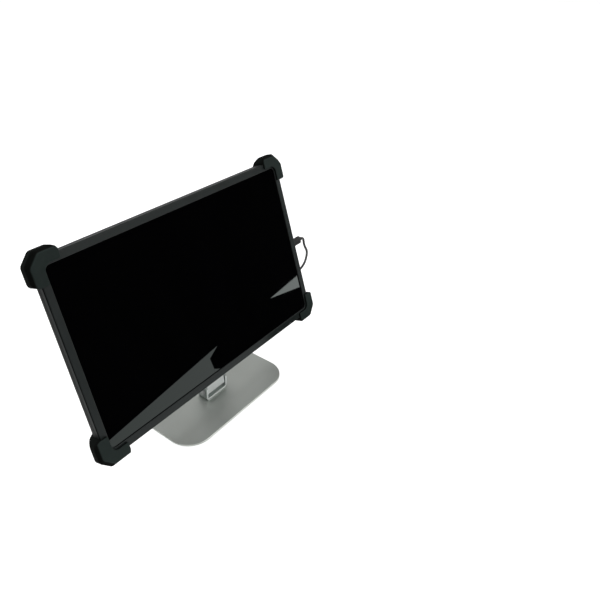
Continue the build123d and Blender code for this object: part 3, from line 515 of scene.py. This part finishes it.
def plug_moulding_mesh():
    """The plug along x, with the cable leaving at the origin."""
    middle = -RELIEF_LEN - PLUG_LEN / 2
    deselect_all()
    bpy.ops.mesh.primitive_cube_add(size=1.0, location=(middle, 0, 0))
    body = bpy.context.active_object
    body.scale = (PLUG_LEN, PLUG_T, PLUG_W)
    bpy.ops.object.transform_apply(location=True, rotation=True, scale=True)
    pick_in(body, "EDGE")
    corners = body.data.vertices
    for edge in body.data.edges:
        a, b = (corners[i].co for i in edge.vertices)
        edge.select = abs(a.x - b.x) > PLUG_LEN / 2
    enter_edit()
    bpy.ops.mesh.bevel(offset=PLUG_ROUND, segments=7, affect="EDGES")
    leave_edit()
    pick_in(body, "FACE")
    for face in body.data.polygons:
        face.select = abs(face.normal.x) > END_FACING
    enter_edit()
    bpy.ops.mesh.region_to_loop()
    bpy.ops.mesh.bevel(offset=PLUG_EDGE, segments=4, affect="EDGES")
    for place in GRIP_PLACES:
        for shift in (-GRIP_HALF, 0.0, GRIP_HALF):
            bpy.ops.mesh.select_all(action="SELECT")
            bpy.ops.mesh.bisect(plane_co=(place + shift, 0, 0), plane_no=(1, 0, 0))
    leave_edit()
    pick_in(body, "VERT")
    for corner in body.data.vertices:
        corner.select = any(abs(corner.co.x - place) < GRIP_HALF / 4 for place in GRIP_PLACES)
    enter_edit()
    bpy.ops.transform.resize(value=GRIP_PINCH)
    leave_edit()

    deselect_all()
    bpy.ops.mesh.primitive_circle_add(
        vertices=32, radius=RELIEF_R, location=(-RELIEF_LEN - PLUG_EDGE, 0, 0), rotation=(0, math.pi / 2, 0)
    )
    relief = bpy.context.active_object
    bpy.ops.object.transform_apply(location=True, rotation=True, scale=True)
    enter_edit()
    bpy.ops.mesh.select_all(action="SELECT")
    step = (RELIEF_LEN + PLUG_EDGE) / (4 * RELIEF_RINGS)
    shrink = (RELIEF_END_R / RELIEF_R) ** (1 / RELIEF_RINGS)
    ring = ((2 * step, shrink), (step / 2, RING_PINCH), (step, 1.0), (step / 2, 1 / RING_PINCH))
    for _ in range(RELIEF_RINGS):
        for run, size in ring:
            bpy.ops.mesh.extrude_region_move(TRANSFORM_OT_translate={"value": (run, 0, 0)})
            bpy.ops.transform.resize(value=(1.0, size, size))
    bpy.ops.mesh.edge_face_add()
    leave_edit()
    deselect_all()
    relief.select_set(True)
    body.select_set(True)
    bpy.context.view_layer.objects.active = body
    bpy.ops.object.join()
    enter_edit()
    bpy.ops.mesh.select_all(action="SELECT")
    bpy.ops.mesh.normals_make_consistent(inside=False)
    leave_edit()
    bpy.ops.object.shade_smooth_by_angle(angle=math.radians(40))
    return body


plug_moulding = surfaced(
    "plug_moulding", dark=(0.020, 0.021, 0.021), light=(0.028, 0.029, 0.029), gloss=(0.4, 0.55),
    grains=1500, patches=80, depth=0.00004, worn_and_highlit=(0.035, 0.035, 0.035), edge=0.0003, specular=0.4,
)
near_boot = plug_moulding_mesh()
near_boot.data.materials.append(plug_moulding)
far_boot = near_boot.copy()
far_boot.data = near_boot.data.copy()
bpy.context.scene.collection.objects.link(far_boot)
near_boot.name = "near_plug_moulding"
far_boot.name = "far_plug_moulding"
near_boot.data.transform(Matrix.Translation(CABLE_EXIT) @ Matrix.Rotation(-DISPLAY_LEAN, 4, "X"))
far_heading = math.atan2(coil_along.y, coil_along.x)
far_lie = Matrix.Rotation(far_heading, 4, "Z") @ Matrix.Rotation(math.pi / 2, 4, "X")
far_boot.data.transform(Matrix.Translation(tail_route[-1]) @ far_lie)
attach(near_boot, "display")
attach(far_boot, "base")
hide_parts("plug_boot")
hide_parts("far_plug_boot")

# Strap: a short length of hook-and-loop tape closed round the coil's bundle.
# Woven black nylon with a furry face, its two ends pressed together.
STRAP_IN = 0.0135
STRAP_TALL = 0.0083
STRAP_T = 0.0009
STRAP_LONG = 0.0080
STRAP_ROUND = 0.0025
STRAP_EDGE = 0.0002
STRAP_OUT_AT = -0.0020
STRAP_ALONG_AT = 0.0194
strap_frame = Matrix((coil_along, coil_out, Vector((0, 0, 1)))).transposed().to_4x4()
strap_place = COIL_CENTRE + coil_out * STRAP_OUT_AT + coil_along * STRAP_ALONG_AT
strap_place += Vector((0, 0, COIL_RISE / 2))
deselect_all()
bpy.ops.mesh.primitive_cube_add(size=1.0)
strap = bpy.context.active_object
strap.name = "coil_strap"
strap.scale = (STRAP_IN + 2 * STRAP_T, STRAP_LONG, STRAP_TALL + 2 * STRAP_T)
bpy.ops.object.transform_apply(location=True, rotation=True, scale=True)
pick_in(strap, "EDGE")
strap_corners = strap.data.vertices
for edge in strap.data.edges:
    a, b = (strap_corners[i].co for i in edge.vertices)
    edge.select = abs(a.y - b.y) > STRAP_LONG / 2
enter_edit()
bpy.ops.mesh.bevel(offset=STRAP_ROUND, segments=6, affect="EDGES")
leave_edit()
pick_in(strap, "FACE")
for face in strap.data.polygons:
    face.select = abs(face.normal.y) > END_FACING
enter_edit()
bpy.ops.mesh.delete(type="FACE")
bpy.ops.mesh.select_all(action="SELECT")
bpy.ops.mesh.subdivide(number_cuts=3)
leave_edit()
wall = strap.modifiers.new("wall", "SOLIDIFY")
wall.thickness = STRAP_T
wall.offset = -1.0
bpy.ops.object.modifier_apply(modifier="wall")
soft = strap.modifiers.new("soft", "BEVEL")
soft.width = STRAP_EDGE
soft.segments = 2
soft.limit_method = "ANGLE"
bpy.ops.object.modifier_apply(modifier="soft")
bpy.ops.object.shade_smooth_by_angle(angle=math.radians(35))
strap.data.transform(Matrix.Translation(strap_place) @ strap_frame)
tape = surfaced(
    "hook_and_loop_tape", dark=(0.008, 0.008, 0.009), light=(0.022, 0.022, 0.023), gloss=(0.85, 0.98),
    grains=2600, patches=900, depth=0.0003, wear_and_highlight=0.0, edge=0.0002, specular=0.2,
)
strap.data.materials.append(tape)
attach(strap, "base")
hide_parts("cable_tie")

# Studio: a white floor, soft boxes, dark, grey and glowing cards that only mirrors see, which paint the
# reflections in the glass and the glossy faces, and the camera.
# None of it belongs to the object.
FLOOR_SIZE = 12.0
deselect_all()
bpy.ops.mesh.primitive_plane_add(size=FLOOR_SIZE, location=(0, 0, 0))
floor = bpy.context.active_object
floor.name = "floor"


def seen_mask(tree):
    """One where the camera, a mirror or clear glass looks, zero for soft light."""
    path = tree.nodes.new("ShaderNodeLightPath")
    total = path.outputs["Is Camera Ray"]
    for name in ("Is Glossy Ray", "Is Transmission Ray"):
        add = tree.nodes.new("ShaderNodeMath")
        add.operation = "ADD"
        add.use_clamp = True
        tree.links.new(total, add.inputs[0])
        tree.links.new(path.outputs[name], add.inputs[1])
        total = add.outputs["Value"]
    return total


PAPER_GREY = (0.78, 0.78, 0.78, 1.0)
FLOOR_GLOW = 0.72
FAR_GLOW = 0.84
GLOW_RISE = (0.5, 1.3)
paper = bpy.data.materials.new("white_paper")
paper.use_nodes = True
tree = paper.node_tree
tree.nodes.remove(tree.nodes["Principled BSDF"])
matt = tree.nodes.new("ShaderNodeBsdfDiffuse")
matt.inputs["Color"].default_value = PAPER_GREY
glow = tree.nodes.new("ShaderNodeEmission")
lift = tree.nodes.new("ShaderNodeMath")
lift.operation = "MULTIPLY"
tree.links.new(seen_mask(tree), lift.inputs[0])
place = tree.nodes.new("ShaderNodeTexCoord")
reach = tree.nodes.new("ShaderNodeVectorMath")
reach.operation = "LENGTH"
tree.links.new(place.outputs["Object"], reach.inputs[0])
whiter = tree.nodes.new("ShaderNodeMapRange")
whiter.inputs["From Min"].default_value = GLOW_RISE[0]
whiter.inputs["From Max"].default_value = GLOW_RISE[1]
whiter.inputs["To Min"].default_value = FLOOR_GLOW
whiter.inputs["To Max"].default_value = FAR_GLOW
tree.links.new(reach.outputs["Value"], whiter.inputs["Value"])
tree.links.new(whiter.outputs["Result"], lift.inputs[1])
tree.links.new(lift.outputs["Value"], glow.inputs["Strength"])
both = tree.nodes.new("ShaderNodeAddShader")
tree.links.new(matt.outputs["BSDF"], both.inputs[0])
tree.links.new(glow.outputs["Emission"], both.inputs[1])
tree.links.new(both.outputs["Shader"], tree.nodes["Material Output"].inputs["Surface"])
floor.data.materials.append(paper)


def studio_card(name, shade, corners):
    """A flat card of one shade of grey that only mirrors see."""
    mesh = bpy.data.meshes.new(name)
    mesh.from_pydata([Vector(c) for c in corners], [], [list(range(len(corners)))])
    card = bpy.data.objects.new(name, mesh)
    bpy.context.scene.collection.objects.link(card)
    paint = bpy.data.materials.new(name)
    paint.use_nodes = True
    tree = paint.node_tree
    tree.nodes.remove(tree.nodes["Principled BSDF"])
    glow = tree.nodes.new("ShaderNodeEmission")
    glow.inputs["Color"].default_value = (shade, shade, shade, 1.0)
    tree.links.new(glow.outputs["Emission"], tree.nodes["Material Output"].inputs["Surface"])
    mesh.materials.append(paint)
    card.visible_camera = False
    card.visible_diffuse = False
    card.visible_shadow = False
    card.visible_transmission = False


def standing_card(name, shade, start, end, height):
    """A card that stands on the floor between two points."""
    studio_card(name, shade, [(*start, 0.0), (*end, 0.0), (*end, height), (*start, height)])


LAID = 0.0006
OVERHEAD = 0.4
CORNER_CARD_AT = -0.070
TABLE_EDGE = (
    (-1.128, 0.048),
    (0.308, -0.468),
    (0.230, -0.402),
    (0.162, -0.307),
    (0.150, -0.250),
    (1.500, -0.250),
    (3.000, -3.000),
    (-3.000, -3.000),
    (-3.000, 0.048),
)
CORNER_CARD = ((0.095, 0.0), (0.340, 0.0), (0.340, 0.050), (0.180, 0.054), (0.105, 0.072))
LIT_STRIP = ((0.613, -0.582), (0.814, -0.649), (0.626, -0.479))
LEFT_SIDE = ((-0.22, -0.16), (-0.22, 3.0), (-3.0, 3.0), (-3.0, -0.16))
CEILING = ((-0.35, 0.02), (0.28, 0.02), (0.28, 0.26), (0.05, 0.60), (-0.35, 0.60))
studio_card("dark_table_edge", 0.0, [(x, y, LAID) for x, y in TABLE_EDGE])
standing_card("dark_wall", 0.0, start=(-2.0, -2.0), end=(3.0, -2.0), height=2.4)
studio_card("dark_corner", 0.0, [(x, CORNER_CARD_AT, z) for x, z in CORNER_CARD])
# A glowing card that only mirrors see: it paints a bright reflection into the screen glass.
studio_card("lit_strip", 3.0, [(x, y, 2 * LAID) for x, y in LIT_STRIP])
studio_card("grey_side", 0.55, [(x, y, LAID) for x, y in LEFT_SIDE])
standing_card("left_wall", 0.02, start=(-1.6, -2.0), end=(-1.6, 2.5), height=1.2)
studio_card("overhead", 0.30, [(x, y, OVERHEAD) for x, y in CEILING])
standing_card("grey_wall", 0.58, start=(2.6, -0.6), end=(0.0, 2.2), height=2.4)


def soft_box(name, place, target, width, height, power):
    light = bpy.data.lights.new(name, "AREA")
    light.shape = "RECTANGLE"
    light.size = width
    light.size_y = height
    light.energy = power
    lamp = bpy.data.objects.new(name, light)
    bpy.context.scene.collection.objects.link(lamp)
    lamp.location = place
    lamp.rotation_euler = (Vector(target) - Vector(place)).to_track_quat("-Z", "Y").to_euler()


soft_box("top_box", place=(-0.4, 0.6, 1.5), target=(0, 0, 0.1), width=1.6, height=1.2, power=14.0)
soft_box("left_box", place=(-1.5, 0.1, 0.8), target=(0, 0, 0.15), width=1.0, height=1.0, power=0.5)
soft_box("front_box", place=(0.5, -1.2, 0.8), target=(0, 0, 0.1), width=1.0, height=0.8, power=6.0)

SOFT_SKY = 0.28
SEEN_SKY = 1.0
world = bpy.data.worlds.new("studio")
bpy.context.scene.world = world
world.use_nodes = True
tree = world.node_tree
sky = tree.nodes["Background"]
sky.inputs["Color"].default_value = (1, 1, 1, 1)
level = tree.nodes.new("ShaderNodeMapRange")
level.inputs["To Min"].default_value = SOFT_SKY
level.inputs["To Max"].default_value = SEEN_SKY
tree.links.new(seen_mask(tree), level.inputs["Value"])
tree.links.new(level.outputs["Result"], sky.inputs["Strength"])
bpy.context.scene.view_settings.view_transform = "Standard"

CAMERA_PLACE = Vector((-0.4313, -0.4490, 0.5300))
VIEW_AHEAD = Vector((0.6853, 0.5359, -0.4932)).normalized()
VIEW_ROLL = math.radians(0.74)
VIEW_SHIFT = (0.0602, -0.0535)
SENSOR_WIDTH = 36.0
LENS = 35.42
NEAREST_SEEN = 0.01
camera_data = bpy.data.cameras.new("camera")
camera = bpy.data.objects.new("camera", camera_data)
bpy.context.scene.collection.objects.link(camera)
bpy.context.scene.camera = camera
level_right = VIEW_AHEAD.cross(Vector((0, 0, 1))).normalized()
level_up = level_right.cross(VIEW_AHEAD)
right = level_right * math.cos(VIEW_ROLL) + level_up * math.sin(VIEW_ROLL)
up = right.cross(VIEW_AHEAD)
aim = Matrix((right, up, -VIEW_AHEAD)).transposed().to_4x4()
camera.matrix_world = Matrix.Translation(CAMERA_PLACE) @ aim
camera_data.sensor_width = SENSOR_WIDTH
camera_data.lens = LENS
camera_data.shift_x = VIEW_SHIFT[0]
camera_data.shift_y = VIEW_SHIFT[1]
camera_data.clip_start = NEAREST_SEEN
